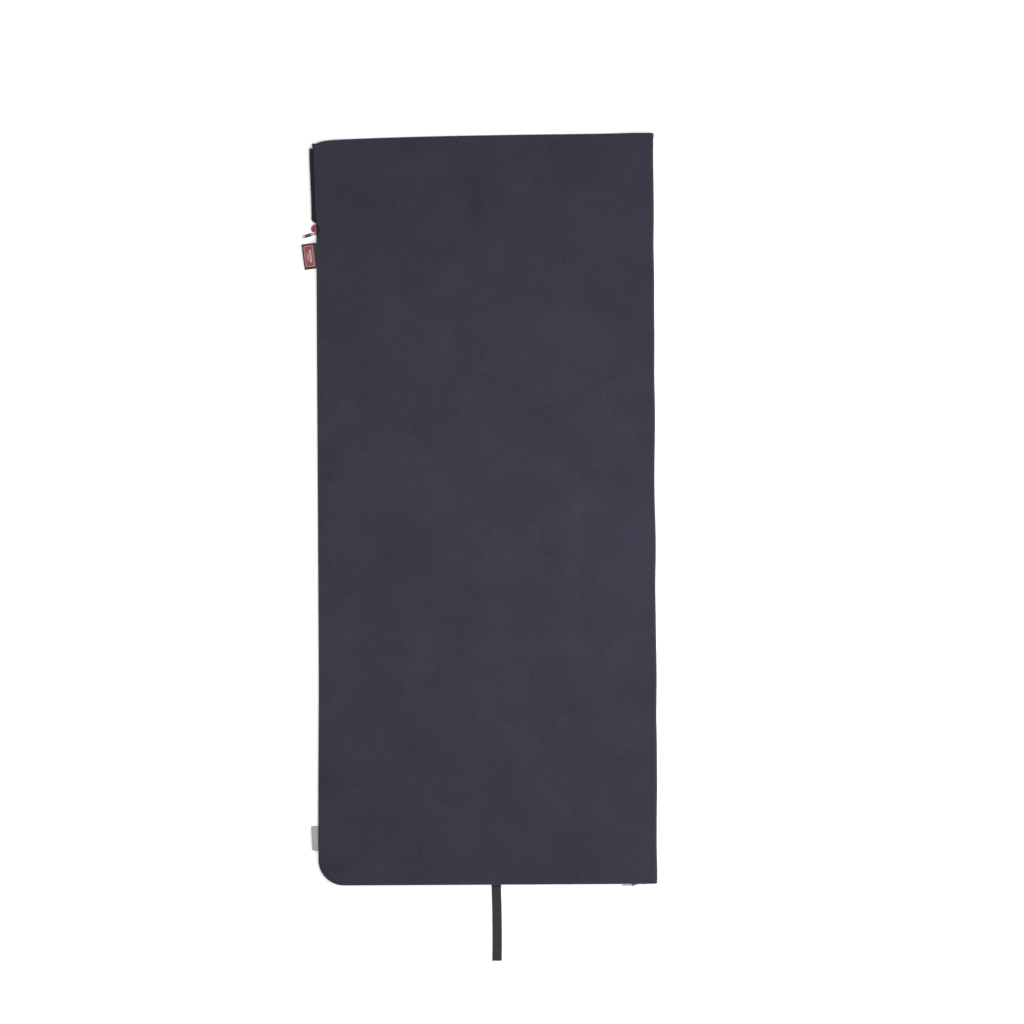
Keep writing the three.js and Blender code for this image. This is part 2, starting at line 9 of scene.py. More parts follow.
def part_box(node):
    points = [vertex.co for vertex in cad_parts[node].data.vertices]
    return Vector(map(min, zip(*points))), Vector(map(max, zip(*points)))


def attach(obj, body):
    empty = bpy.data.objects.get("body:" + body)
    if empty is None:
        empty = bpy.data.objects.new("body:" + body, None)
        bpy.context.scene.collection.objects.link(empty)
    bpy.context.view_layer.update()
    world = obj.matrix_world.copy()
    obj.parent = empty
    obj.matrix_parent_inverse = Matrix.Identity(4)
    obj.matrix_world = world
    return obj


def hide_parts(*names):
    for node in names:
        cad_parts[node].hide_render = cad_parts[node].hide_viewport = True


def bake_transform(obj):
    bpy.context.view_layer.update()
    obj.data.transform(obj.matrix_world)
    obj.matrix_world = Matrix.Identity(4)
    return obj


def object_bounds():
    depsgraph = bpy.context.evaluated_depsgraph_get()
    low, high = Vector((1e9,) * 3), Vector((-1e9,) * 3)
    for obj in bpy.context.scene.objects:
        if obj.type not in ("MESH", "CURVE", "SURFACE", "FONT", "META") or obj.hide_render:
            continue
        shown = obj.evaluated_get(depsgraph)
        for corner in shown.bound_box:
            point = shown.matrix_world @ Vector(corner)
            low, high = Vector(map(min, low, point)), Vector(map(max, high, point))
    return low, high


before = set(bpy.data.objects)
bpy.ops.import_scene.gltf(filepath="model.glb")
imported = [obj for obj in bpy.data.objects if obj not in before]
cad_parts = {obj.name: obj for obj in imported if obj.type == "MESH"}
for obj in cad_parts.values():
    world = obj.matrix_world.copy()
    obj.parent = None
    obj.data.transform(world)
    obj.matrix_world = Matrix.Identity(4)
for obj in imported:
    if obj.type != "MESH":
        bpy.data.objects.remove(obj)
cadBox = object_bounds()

# where the blanket lies, all of it from the frame
panelLow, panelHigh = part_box("front_panel")
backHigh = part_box("back_panel")[1].z
foldLow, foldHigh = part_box("fold_strip")
blanket = {
    "left": panelLow.x,
    "foot": panelLow.y,
    "mouth": panelHigh.y,
    "foldCentre": foldLow.x,
    "foldEdge": foldHigh.x,
    "thickness": backHigh,
    "height": panelHigh.z,
    "footCorner": 0.065,
    "join": foldLow.x - 0.022,  # the three pieces of the fleece meet here
    "spacing": 0.0062,
}
midHeight = blanket["height"] / 2


# camera and light
view = {"lens": 85, "across": 2.601, "centre": (0.0637, -0.0076), "roll": -0.31}


def makeCamera():
    data = bpy.data.cameras.new("overhead")
    data.lens = view["lens"]
    data.sensor_width = 36
    camera = bpy.data.objects.new("overhead", data)
    bpy.context.scene.collection.objects.link(camera)
    distance = view["across"] * view["lens"] / data.sensor_width
    camera.location = (*view["centre"], distance + midHeight)
    camera.rotation_euler = (0, 0, math.radians(view["roll"]))
    data.clip_start, data.clip_end = 0.1, 50
    bpy.context.scene.camera = camera


studio = {
    "sky": 0.48,
    "lamps": [
        # name, place, aim, size, watts
        ("highSoftbox", (0.6, -0.1, 2.2), (0.6, -0.1, 0), 1.8, 68),
        ("lowFill", (-2.2, -1.2, 1.4), (-0.2, 0, 0), 1.4, 5),
    ],
    "floor": (0.9, 0.9, 0.9),
    "floorGlow": 0.32,
}


def makeStudio():
    scene = bpy.context.scene
    scene.view_settings.view_transform = "Standard"
    world = bpy.data.worlds.new("studioAir")
    world.use_nodes = True
    world.node_tree.nodes["Background"].inputs["Color"].default_value = (1, 1, 1, 1)
    world.node_tree.nodes["Background"].inputs["Strength"].default_value = studio["sky"]
    scene.world = world
    for name, at, aim, size, watts in studio["lamps"]:
        data = bpy.data.lights.new(name, "AREA")
        data.shape = "SQUARE"
        data.size = size
        data.energy = watts
        lamp = bpy.data.objects.new(name, data)
        lamp.location = at
        lamp.rotation_euler = (Vector(at) - Vector(aim)).to_track_quat("Z", "Y").to_euler()
        scene.collection.objects.link(lamp)


makeCamera()
makeStudio()
print("camera and lamps set")


# small helpers
def ramp(x, start, end):
    t = np.clip((np.asarray(x, float) - start) / (end - start), 0, 1)
    return t * t * (3 - 2 * t)


def waves(seed, size, count=14):
    # soft bumps about this far apart, as a sum of slanting waves
    draw = np.random.RandomState(seed)
    angle = draw.uniform(0, 2 * math.pi, count)
    reach = size * draw.uniform(0.7, 1.6, count)
    phase = draw.uniform(0, 2 * math.pi, count)

    def height(x, y):
        total = 0 * x
        for a, r, p in zip(angle, reach, phase):
            total = total + np.cos(2 * math.pi * (np.cos(a) * x + np.sin(a) * y) / r + p)
        return total * math.sqrt(0.5 / count)

    return height


def addPiece(name, shape, material, body=None, smooth=50):
    # shape is a bmesh; its place is in its vertices
    mesh = bpy.data.meshes.new(name)
    bmesh.ops.recalc_face_normals(shape, faces=shape.faces)
    shape.to_mesh(mesh)
    shape.free()
    mesh.polygons.foreach_set("use_smooth", [True] * len(mesh.polygons))
    if smooth:
        mesh.set_sharp_from_angle(angle=math.radians(smooth))
    piece = bpy.data.objects.new(name, mesh)
    bpy.context.scene.collection.objects.link(piece)
    mesh.materials.append(material)
    if body:
        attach(piece, body)
    return piece


def layGrid(rows, columns):
    # a grid whose vertices know their row and column, which its place tells
    shape = bmesh.new()
    bmesh.ops.create_grid(shape, x_segments=columns - 1, y_segments=rows - 1, size=1)
    return shape


def gridIndex(shape, rows, columns):
    at = np.array([v.co for v in shape.verts])
    column = np.rint((at[:, 0] + 1) / 2 * (columns - 1)).astype(int)
    row = np.rint((at[:, 1] + 1) / 2 * (rows - 1)).astype(int)
    return row, column, at[:, 2] < -0.5


def moveTo(shape, places):
    for v, p in zip(shape.verts, places):
        v.co = p


def skin(points, closed=True, ends=True):
    # points[row][column] is a place; closed joins the last column to the first
    points = np.asarray(points)
    if closed:
        points = np.concatenate([points, points[:, :1]], axis=1)
    rows, columns = points.shape[:2]
    shape = layGrid(rows, columns)
    row, column, _ = gridIndex(shape, rows, columns)
    moveTo(shape, points[row, column])
    if closed:
        bmesh.ops.remove_doubles(shape, verts=shape.verts, dist=1e-7)
        if ends:
            bmesh.ops.holes_fill(shape, edges=shape.edges, sides=0)
    return shape


# materials
def newMaterial(name, **sockets):
    material = bpy.data.materials.new(name)
    material.use_nodes = True
    shader = material.node_tree.nodes["Principled BSDF"]
    for key, value in sockets.items():
        socket = shader.inputs[key.replace("_", " ")]
        socket.default_value = (*value, 1) if len(np.shape(value)) and len(value) == 3 else value
    return material, material.node_tree, shader


def node(tree, kind, values=None, **settings):
    made = tree.nodes.new(kind)
    for key, value in settings.items():
        setattr(made, key, value)
    for key, value in (values or {}).items():
        made.inputs[key].default_value = value
    return made


def math2(tree, operation, first, second=None):
    made = node(tree, "ShaderNodeMath", operation=operation)
    for socket, value in zip(made.inputs, (first, second)):
        if value is None:
            continue
        if isinstance(value, (int, float)):
            socket.default_value = value
        else:
            tree.links.new(value, socket)
    return made.outputs[0]


def blendColor(tree, mask, dark, light):
    made = node(tree, "ShaderNodeMix", data_type="RGBA")
    made.inputs["A"].default_value = (*dark, 1)
    made.inputs["B"].default_value = (*light, 1)
    tree.links.new(mask, made.inputs["Factor"])
    return made.outputs["Result"]


def bump(tree, shader, height, strength, distance):
    made = node(tree, "ShaderNodeBump", {"Strength": strength, "Distance": distance})
    tree.links.new(height, made.inputs["Height"])
    tree.links.new(made.outputs["Normal"], shader.inputs["Normal"])


def makeGroup(name, inputs, outputs):
    tree = bpy.data.node_groups.new(name, "ShaderNodeTree")
    for label, default in inputs.items():
        kind = "NodeSocketVector" if default is None else "NodeSocketFloat"
        socket = tree.interface.new_socket(label, in_out="INPUT", socket_type=kind)
        if default is not None:
            socket.default_value = default
    for label in outputs:
        tree.interface.new_socket(label, in_out="OUTPUT", socket_type="NodeSocketFloat")
    return tree, node(tree, "NodeGroupInput"), node(tree, "NodeGroupOutput")


def makeNapGroup():
    # brushed pile: fibres, small curls of them, and broad patches where they lie another way
    tree, given, out = makeGroup(
        "brushedNap", {"Vector": None, "Fibres": 1500.0, "Curls": 430.0, "Patches": 7.0}, ["Tone", "Height"]
    )
    link = tree.links.new

    def noise(scale, detail, roughness, distortion):
        values = {"Detail": detail, "Roughness": roughness, "Distortion": distortion}
        made = node(tree, "ShaderNodeTexNoise", values)
        link(given.outputs["Vector"], made.inputs["Vector"])
        link(scale, made.inputs["Scale"])
        return made.outputs["Fac"]

    fibres = noise(given.outputs["Fibres"], 3.0, 0.7, 1.2)
    patches = noise(given.outputs["Patches"], 3.0, 0.55, 0.6)
    clumps = noise(math2(tree, "MULTIPLY", given.outputs["Curls"], 0.3), 2.0, 0.5, 0.8)
    curls = node(tree, "ShaderNodeTexVoronoi", {"Randomness": 1.0}, feature="SMOOTH_F1")
    link(given.outputs["Vector"], curls.inputs["Vector"])
    link(given.outputs["Curls"], curls.inputs["Scale"])
    pebble = math2(tree, "SUBTRACT", 1.0, curls.outputs["Distance"])
    pile = math2(tree, "ADD", math2(tree, "MULTIPLY", fibres, 0.6), math2(tree, "MULTIPLY", pebble, 0.7))
    link(math2(tree, "ADD", pile, math2(tree, "MULTIPLY", clumps, 0.5)), out.inputs["Height"])
    near = math2(tree, "ADD", math2(tree, "MULTIPLY", fibres, 0.4), math2(tree, "MULTIPLY", pebble, 0.35))
    link(math2(tree, "ADD", near, math2(tree, "MULTIPLY", patches, 0.25)), out.inputs["Tone"])
    return tree


def makeWeaveGroup():
    # threads along U and across V, with U and V in metres
    tree, given, out = makeGroup(
        "wovenThreads", {"Vector": None, "Along": 900.0, "Across": 1400.0}, ["Tone", "Height"]
    )
    link = tree.links.new
    parts = node(tree, "ShaderNodeSeparateXYZ")
    link(given.outputs["Vector"], parts.inputs[0])
    u = math2(tree, "MULTIPLY", parts.outputs["X"], given.outputs["Along"])
    v = math2(tree, "MULTIPLY", parts.outputs["Y"], given.outputs["Across"])
    waveU = math2(tree, "SINE", math2(tree, "MULTIPLY", u, 2 * math.pi))
    waveV = math2(tree, "SINE", math2(tree, "MULTIPLY", v, 2 * math.pi))
    lift = math2(tree, "MULTIPLY", waveU, waveV)
    rib = math2(tree, "ABSOLUTE", math2(tree, "SINE", math2(tree, "MULTIPLY", v, math.pi)))
    height = math2(tree, "ADD", math2(tree, "MULTIPLY", lift, 0.25), rib)
    link(height, out.inputs["Height"])
    uneven = node(tree, "ShaderNodeTexNoise", {"Scale": 120.0, "Detail": 3.0})
    link(given.outputs["Vector"], uneven.inputs["Vector"])
    link(math2(tree, "ADD", math2(tree, "MULTIPLY", lift, 0.2), uneven.outputs["Fac"]), out.inputs["Tone"])
    return tree


# edgeFrom and edgeTo set how far a face must turn sideways to take the painted edge shade; edgeShade is how
# dark that painted shade gets
nap = {"tone": (0.4, 0.72), "edgeFrom": 0.1, "edgeTo": 0.8, "edgeShade": 0.4, "bump": 0.8}
weave = {"tone": (0.25, 0.8), "bump": 0.6}
speck = {"tone": (0.3, 0.7), "bump": 0.3}
napGroup = makeNapGroup()
weaveGroup = makeWeaveGroup()


def objectPlace(tree):
    return node(tree, "ShaderNodeTexCoord").outputs["Object"]


def napMaterial(name, dark, light, depth, **sockets):
    material, tree, shader = newMaterial(name, **sockets)
    pile = node(tree, "ShaderNodeGroup", node_tree=napGroup)
    tree.links.new(objectPlace(tree), pile.inputs["Vector"])
    tone = node(tree, "ShaderNodeMapRange", {"From Min": nap["tone"][0], "From Max": nap["tone"][1]})
    tree.links.new(pile.outputs["Tone"], tone.inputs["Value"])
    # painted shade: the colour is darkened where the surface turns sideways, on the cloth's thin edges,
    # standing in for the shade that falls there
    facing = node(tree, "ShaderNodeSeparateXYZ")
    tree.links.new(node(tree, "ShaderNodeTexCoord").outputs["Normal"], facing.inputs[0])
    edge = node(tree, "ShaderNodeMapRange", {
        "From Min": nap["edgeFrom"], "From Max": nap["edgeTo"], "To Min": nap["edgeShade"],
    })
    tree.links.new(math2(tree, "ABSOLUTE", facing.outputs["Z"]), edge.inputs["Value"])
    shaded = node(tree, "ShaderNodeVectorMath", operation="SCALE")
    tree.links.new(blendColor(tree, tone.outputs[0], dark, light), shaded.inputs[0])
    tree.links.new(edge.outputs[0], shaded.inputs["Scale"])
    tree.links.new(shaded.outputs[0], shader.inputs["Base Color"])
    bump(tree, shader, pile.outputs["Height"], nap["bump"], depth)
    return material


def wovenMaterial(name, dark, light, along, across, depth, coordinates="UV", **sockets):
    material, tree, shader = newMaterial(name, **sockets)
    threads = node(tree, "ShaderNodeGroup", node_tree=weaveGroup)
    threads.inputs["Along"].default_value = along
    threads.inputs["Across"].default_value = across
    tree.links.new(node(tree, "ShaderNodeTexCoord").outputs[coordinates], threads.inputs["Vector"])
    tone = node(tree, "ShaderNodeMapRange", {"From Min": weave["tone"][0], "From Max": weave["tone"][1]})
    tree.links.new(threads.outputs["Tone"], tone.inputs["Value"])
    tree.links.new(blendColor(tree, tone.outputs[0], dark, light), shader.inputs["Base Color"])
    bump(tree, shader, threads.outputs["Height"], weave["bump"], depth)
    return material


def speckMaterial(name, dark, light, scale, rough, depth, **sockets):
    # moulded plastic and cast metal: faint mottling, handling marks in the gloss
    material, tree, shader = newMaterial(name, **sockets)
    mottle = node(tree, "ShaderNodeTexNoise", {"Scale": scale, "Detail": 5.0, "Roughness": 0.6})
    tree.links.new(objectPlace(tree), mottle.inputs["Vector"])
    tree.links.new(blendColor(tree, mottle.outputs["Fac"], dark, light), shader.inputs["Base Color"])
    gloss = node(tree, "ShaderNodeMapRange", {
        "From Min": speck["tone"][0], "From Max": speck["tone"][1], "To Min": rough[0], "To Max": rough[1],
    })
    tree.links.new(mottle.outputs["Fac"], gloss.inputs["Value"])
    tree.links.new(gloss.outputs[0], shader.inputs["Roughness"])
    bump(tree, shader, mottle.outputs["Fac"], speck["bump"], depth)
    return material


look = {
    "fleece": napMaterial(
        "brushedFleece", (0.0194, 0.0194, 0.0294), (0.0378, 0.0378, 0.0572), 0.0009,
        Roughness=1.0, Sheen_Weight=0.18, Sheen_Roughness=0.5, Specular_IOR_Level=0.1,
    ),
    "tape": wovenMaterial(
        "zipTapeCloth", (0.0028, 0.0028, 0.004), (0.006, 0.006, 0.008), 1100, 900, 0.0002,
        Roughness=0.82, Sheen_Weight=0.1, Specular_IOR_Level=0.3,
    ),
    "coil": speckMaterial(
        "zipCoilNylon", (0.008, 0.008, 0.01), (0.014, 0.014, 0.017), 900, (0.32, 0.5), 0.00003,
    ),
    "thread": speckMaterial(
        "sewingThread", (0.034, 0.034, 0.046), (0.058, 0.058, 0.075), 2500, (0.6, 0.8), 0.00008,
    ),
    "darkThread": speckMaterial(
        "tapeThread", (0.016, 0.016, 0.02), (0.03, 0.03, 0.036), 2500, (0.6, 0.8), 0.00008,
    ),
    "metal": speckMaterial(
        "castZinc", (0.2, 0.196, 0.192), (0.28, 0.273, 0.266), 700, (0.25, 0.45), 0.00003,
        Metallic=1.0,
    ),
    "gunmetal": speckMaterial(
        "tabEnamel", (0.03, 0.03, 0.032), (0.05, 0.05, 0.052), 800, (0.35, 0.5), 0.00003,
        Coat_Weight=0.3,
    ),
    "guard": speckMaterial(
        "guardPlastic", (0.2, 0.014, 0.04), (0.27, 0.022, 0.058), 500, (0.25, 0.4), 0.00004,
        Subsurface_Weight=0.1, Coat_Weight=0.2,
    ),
    "labelGround": wovenMaterial(
        "labelGround", (0.005, 0.0045, 0.005), (0.013, 0.012, 0.013), 1500, 1500, 0.00012,
        "Object", Roughness=0.6,
    ),
    "labelPanel": wovenMaterial(
        "labelPanel", (0.17, 0.026, 0.04), (0.25, 0.045, 0.062), 1600, 1600, 0.00012,
        "Object", Roughness=0.55,
    ),
    "labelTrim": wovenMaterial(
        "labelTrim", (0.36, 0.235, 0.24), (0.46, 0.32, 0.325), 1800, 1800, 0.0001,
        "Object", Roughness=0.5,
    ),
    "careLabel": wovenMaterial(
        "careSatin", (0.22, 0.225, 0.215), (0.3, 0.305, 0.295), 1200, 2400, 0.00008,
        "Object", Roughness=0.5, Sheen_Weight=0.2,
    ),
    "webbing": wovenMaterial(
        "loopElastic", (0.0098, 0.0098, 0.016), (0.021, 0.021, 0.033), 700, 640, 0.0006,
        Roughness=0.85, Sheen_Weight=0.15,
    ),
    "floor": speckMaterial(
        "paleFloor", studio["floor"], (0.92, 0.92, 0.92), 3, (0.85, 0.9), 0.0001,
        Emission_Color=(1, 1, 1), Emission_Strength=studio["floorGlow"],
    ),
}
print("materials made")


# the zip's path in plan, and how its rows and tapes lie along it
sliderLow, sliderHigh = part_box("upper_slider_body")
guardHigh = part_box("upper_slider_guard")[1]
zipLine = {
    "topInset": 0.0345,
    "endInset": 0.028,
    "proud": 0.0005,
    "upperSliderAt": 0.213,
    "lowerSliderBack": 0.03,
    "tapeWall": 0.0061,
    "sewnWidth": 0.012,
    "rowHeight": 0.0014,
    "rowThickness": 0.0024,
    "closedRow": 0.00085,
    "splitRow": 0.0022,
    "openReach": 0.0124,
    "openDrift": 0.0046,
    "kink": 0.0045,
    "flareStart": guardHigh.y - (sliderLow.y + sliderHigh.y) / 2,  # past the guard's nose
    "flareLength": 0.017,
    "kinkLength": 0.009,
    "kinkFade": 0.004,
    "splitFrom": -0.004,
    "splitTo": 0.005,
}
turnRadius = blanket["footCorner"] + zipLine["proud"]
sideTop = blanket["mouth"] - zipLine["topInset"]
sideRun = sideTop - blanket["foot"] - blanket["footCorner"]
turnRun = turnRadius * math.pi / 2
footRun = blanket["foldEdge"] - zipLine["endInset"] - blanket["left"] - blanket["footCorner"]
zipLength = sideRun + turnRun + footRun
lowerSliderAt = zipLength - zipLine["lowerSliderBack"]


def zipPlace(along):
    # returns x, y and the outward direction for lengths from the mouth end
    along = np.asarray(along, float)
    turn = np.clip((along - sideRun) / turnRadius, 0, math.pi / 2)
    outX, outY = -np.cos(turn), -np.sin(turn)
    x = blanket["left"] + blanket["footCorner"] + turnRadius * outX
    y = blanket["foot"] + blanket["footCorner"] + turnRadius * outY
    x = x + np.maximum(along - sideRun - turnRun, 0)
    y = y + np.maximum(sideRun - along, 0)
    return x, y, outX, outY


def besideZip(along, out, z):
    x, y, outX, outY = zipPlace(along)
    return np.stack([x + outX * out, y + outY * out, z + 0 * x], axis=-1)


def rowPlace(along, isBack):
    # a row's middle: out from the chain's plane and up from its middle, and its tape's bend
    above = zipLine["upperSliderAt"] - along
    beyond = along - lowerSliderAt
    opening = zipLine["splitFrom"], zipLine["splitTo"]
    split = np.maximum(ramp(above, *opening), ramp(beyond, *opening))
    start = zipLine["flareStart"]
    end, kinkTop = start + zipLine["flareLength"], start + zipLine["kinkLength"]
    flare = ramp(above, start, end)
    kink = 0
    if isBack:
        kink = ramp(above, start, kinkTop) * (1 - ramp(above, kinkTop, end + zipLine["kinkFade"]))
    drift = zipLine["openDrift"] * ramp(above, end, zipLine["upperSliderAt"])
    out = zipLine["openReach"] * flare + zipLine["kink"] * kink + drift
    up = zipLine["closedRow"] + (zipLine["splitRow"] - zipLine["closedRow"]) * split
    up = up + (zipLine["tapeWall"] - up) * flare
    bend = np.stack([drift, zipLine["tapeWall"] + 0 * drift], axis=-1)
    centre = np.stack([out, up], axis=-1)
    way = centre - bend
    way = way / np.linalg.norm(way, axis=-1, keepdims=True)
    side = np.stack([-way[..., 1], way[..., 0]], axis=-1)
    return bend, centre, way, side


def fromSection(along, isBack, section):
    up = -section[..., 1] if isBack else section[..., 1]
    return besideZip(along, section[..., 0], midHeight + up)


# fleece
fleece = {
    "sag": 0.0085,
    "mouthSag": 0.0125,
    "sagReach": 0.075,
    "broadWave": 0.0016,
    "smallWave": 0.0006,
    "pucker": 0.0006,
    "ripple": 0.034,
    "backLift": 0.0007,
    "hemDepth": 0.015,
    "hemExtra": 0.0009,
    "seamInset": 0.006,
    "rounding": 0.0017,
    "mouthDrops": [(0.012, 2.2), (0.005, 14), (0.006, 60)],  # depth, and how late across it comes
    "flares": [(0.0030, 0.735, 0.77), (0.0035, 0.77, 0.93), (0.004, 0.925, 0.95)],  # out, from, to
    "footSwell": (0.0042, 0.3, 0.85),
    "guardNotch": (0.0085, 0.7125, 0.0135),  # in, where, half width
    "waist": (0.0016, 0.27, 0.16),
    "turnIn": (0.015, 0.23),  # the left edge's moves fade out between these
}
# rows and columns lie closer together at the edges, the hem and the seams
edgeSteps = [
    0, 0.0004, 0.0011, 0.002, 0.0034, 0.0048, 0.006, 0.0072, 0.0088, 0.011, 0.0145, 0.019, 0.0245,
]
hemSteps = [
    0, 0.0004, 0.0011, 0.002, 0.0036, 0.006, 0.009, 0.012, 0.0141, 0.015, 0.0159, 0.0178, 0.0215, 0.027,
]


def bell(x, height, at, half):
    return height * np.exp(-(((x - at) / half) ** 2))


def stations(low, high, lowSteps, highSteps, spacing):
    start, end = low + lowSteps[-1], high - highSteps[-1]
    count = max(int(round((end - start) / spacing)), 1)
    middle = np.linspace(start, end, count + 1)[1:-1]
    return np.concatenate([low + np.array(lowSteps), middle, high - np.array(highSteps[::-1])])


rowsY = stations(blanket["foot"], blanket["mouth"], edgeSteps, hemSteps, blanket["spacing"])
columnsX = stations(blanket["left"], blanket["join"], edgeSteps, [0], blanket["spacing"] * 1.1)


def mouthDrop(x):
    # how much lower than its highest point the mouth edge is
    across = (blanket["join"] - x) / (blanket["join"] - blanket["left"])
    across = np.clip(across, 0, 1)
    return sum(depth * across**power for depth, power in fleece["mouthDrops"])


def leftMove(y):
    # out at the open top, in round the slider's guard, and a little swell towards the foot
    top = sum(out * ramp(y, low, high) for out, low, high in fleece["flares"])
    swell, low, high = fleece["footSwell"]
    inward = bell(y, *fleece["guardNotch"]) + bell(y, *fleece["waist"])
    return inward - top - swell * ramp(-y, low, high)


def nearLeft(x):
    low, high = fleece["turnIn"]
    return 1 - ramp(x, blanket["left"] + low, blanket["left"] + high)


def plan(baseX, baseY):
    # the flat outline: a rounded foot corner, and a mouth edge that falls away to the zip
    radius = blanket["footCorner"]
    drop = np.clip(blanket["foot"] + radius - baseY, 0, radius)
    cut = radius - np.sqrt(np.maximum(radius**2 - drop**2, 0))
    x = baseX + (cut + leftMove(baseY)) * nearLeft(baseX)
    y = baseY - mouthDrop(x) * ramp(baseY, blanket["mouth"] - 0.25, blanket["mouth"])
    return x, y


def zipDistance(x, y):
    # how far inside the edge that the zip is sewn to
    radius = blanket["footCorner"]
    dx = x - blanket["left"] - leftMove(y)
    dy = y - blanket["foot"]
    corner = radius - np.hypot(np.minimum(dx - radius, 0), np.minimum(dy - radius, 0))
    inCorner = (dx < radius) & (dy < radius)
    return np.where(inCorner, corner, np.minimum(dx, dy)), dx, dy


broadWaves, smallWaves = waves(3, 0.34), waves(8, 0.11)
backWaves, edgeWaves = waves(21, 0.16), waves(5, 0.05)
# long faint creases: from, to, half width, height
creases = [
    ((-0.40, 0.62), (0.06, 0.30), 0.022, 0.0016),
    ((-0.36, 0.86), (-0.18, 0.55), 0.018, 0.0013),
    ((0.38, -0.70), (0.02, -0.40), 0.026, 0.0015),
    ((-0.30, -0.86), (0.05, -0.62), 0.020, 0.0012),
    ((0.33, 0.40), (0.10, 0.78), 0.024, 0.0014),
    ((-0.38, -0.10), (-0.02, 0.06), 0.028, 0.0012),
    ((0.36, -0.14), (0.12, -0.02), 0.020, -0.0010),
]


def creaseHeight(x, y):
    total = 0 * x
    for (x0, y0), (x1, y1), half, height in creases:
        length = math.hypot(x1 - x0, y1 - y0)
        ux, uy = (x1 - x0) / length, (y1 - y0) / length
        t = ((x - x0) * ux + (y - y0) * uy) / length
        off = (x - x0) * uy - (y - y0) * ux + 0.02 * np.sin(5 * t)
        fade = ramp(t, 0, 0.35) * (1 - ramp(t, 0.6, 1.05))
        total = total + height * fade * np.exp(-((off / half) ** 2))
    return total


def freeShare(x, y):
    # nothing at the sewn and folded edges, all in the open cloth
    depth, dx, dy = zipDistance(x, y)
    reach = fleece["sagReach"]
    share = 1 - np.exp(-((np.maximum(dx, 0) / reach) ** 2))
    share = share * (1 - np.exp(-((np.maximum(dy, 0) / reach) ** 2)))
    return share * (1 - np.exp(-((np.maximum(blanket["join"] - x, 0) / reach) ** 2)))


def frontMiddle(x, y):
    # the height of the front layer's middle
    share = freeShare(x, y)
    nearMouth = ramp(y, 0.62, 0.95)
    sag = fleece["sag"] + (fleece["mouthSag"] - fleece["sag"]) * nearMouth
    calm = 1 - 0.6 * nearMouth
    rise = fleece["broadWave"] * broadWaves(x, y) + fleece["smallWave"] * smallWaves(x, y)
    z = blanket["height"] - blanket["thickness"] / 2 - share * sag
    return z + share * calm * (rise + creaseHeight(x, y)) + pucker(x, y)


def backMiddle(x, y):
    lowest = np.maximum(halfThickness(x, y), blanket["thickness"] / 2)
    return lowest + fleece["backLift"] * freeShare(x, y) * np.maximum(1 + backWaves(x, y), 0)


def pucker(x, y):
    # the zip seam draws the cloth up in small ripples
    depth, dx, dy = zipDistance(x, y)
    window = ramp(depth, 0.004, 0.014) * (1 - ramp(depth, 0.018, 0.05))
    window = window * (1 - ramp(x, blanket["join"] - 0.06, blanket["join"] - 0.02))
    run = np.where(dx < dy, y, x)
    ripple = np.sin(2 * math.pi * run / fleece["ripple"] + 2.5 * edgeWaves(x, y))
    return fleece["pucker"] * window * ripple * (0.6 + 0.4 * edgeWaves(y, x))


def halfThickness(x, y):
    depth, dx, dy = zipDistance(x, y)
    toMouth = blanket["mouth"] - mouthDrop(x) - y
    half = blanket["thickness"] / 2 + 0 * x
    hemEnd = fleece["hemDepth"]
    hem = fleece["hemExtra"] * (1 - ramp(toMouth, hemEnd - 0.001, hemEnd + 0.0015))
    groove = bell(toMouth, 0.0012, hemEnd, 0.0011)
    seam = bell(depth, 0.0011, fleece["seamInset"], 0.0015)
    swell = bell(depth, 0.0004, 0.0026, 0.0016)
    half = half + hem - groove - (seam - swell) * (1 - ramp(toMouth, -0.02, -0.021))
    nearest = np.clip(np.minimum(depth, toMouth) / fleece["rounding"], 0, 1)
    return half * np.sqrt(nearest * (2 - nearest))


def layTwoGrids(rows, columns):
    # two grids one above the other: the outer face of a sheet and its inner face
    shape = layGrid(rows, columns)
    copied = bmesh.ops.duplicate(shape, geom=shape.verts[:] + shape.edges[:] + shape.faces[:])["geom"]
    lower = [g for g in copied if isinstance(g, bmesh.types.BMVert)]
    bmesh.ops.translate(shape, verts=lower, vec=(0, 0, -1))
    return shape


def joinEdges(shape):
    bmesh.ops.remove_doubles(shape, verts=shape.verts, dist=1e-7)
    bmesh.ops.holes_fill(shape, edges=shape.edges, sides=0)


def fleeceLayer(name, middle, body, node):
    rows, columns = len(rowsY), len(columnsX)
    shape = layTwoGrids(rows, columns)
    row, column, isUnder = gridIndex(shape, rows, columns)
    x, y = plan(columnsX[column], rowsY[row])
    half = halfThickness(x, y)
    atEdge = (column == 0) | (row == 0) | (row == rows - 1)
    half[atEdge] = 0
    z = middle(x, y) + np.where(isUnder, -half, half)
    moveTo(shape, np.stack([x, y, z], axis=1))
    joinEdges(shape)
    piece = addPiece(name, shape, look["fleece"], body, smooth=60)
    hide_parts(node)
    return piece


